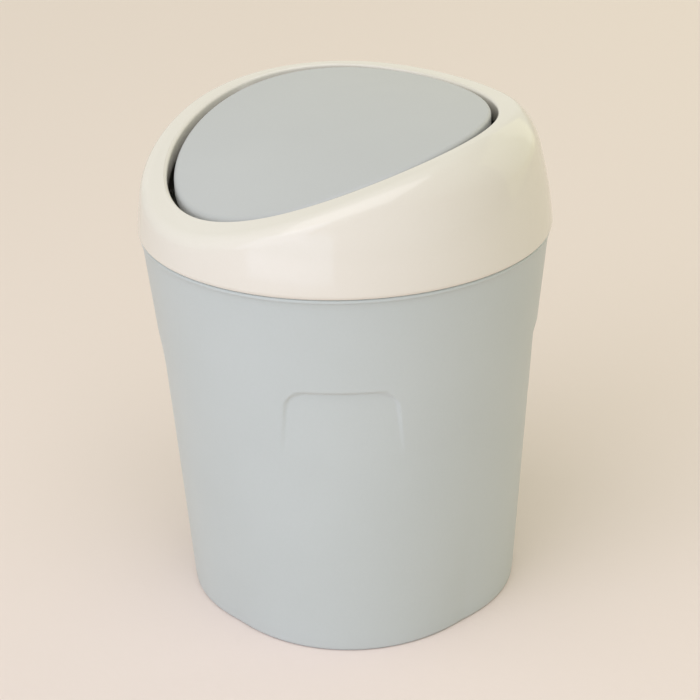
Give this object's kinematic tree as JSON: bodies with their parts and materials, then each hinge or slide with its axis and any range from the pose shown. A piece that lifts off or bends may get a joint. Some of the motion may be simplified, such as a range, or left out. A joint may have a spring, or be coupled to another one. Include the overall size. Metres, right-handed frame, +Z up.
{
  "type": "swing lid worktop bin",
  "caption": "Small tapered worktop bin with grip panels and a domed lift-off lid ring whose slanted, arched opening holds a push-to-tip flap.",
  "frame": {"origin": "centre of the foot's underside, on the table, under the middle of the lid's lower edge", "axes": "+Z up, +X along the flap's pins, -Y towards the low end of the flap"},
  "size_m": [0.1598, 0.1598, 0.1991],
  "materials": {
    "bucket_plastic": "satin moulded plastic, pale grey-green",
    "lid_plastic": "glossy moulded plastic, warm cream",
    "flap_plastic": "satin moulded plastic, pale grey-green",
    "bar_steel": "bright drawn steel"
  },
  "bodies": {
    "bin": {"bucket": "bucket_plastic"},
    "lid": {"lid_ring": "lid_plastic"},
    "swing_flap": {"flap": "flap_plastic", "balance_bar": "bar_steel"}
  },
  "joints": [
    {"name": "lid_lift", "type": "slide", "parent": "bin", "child": "lid", "axis": [0, 0, 1], "range_m": [0, 0.06]},
    {"name": "flap_swing", "type": "hinge", "parent": "lid", "child": "swing_flap", "pos_m": [0, -0.0049, 0.19112], "axis": [1, 0, 0], "range_deg": [-80, 80]}
  ]
}
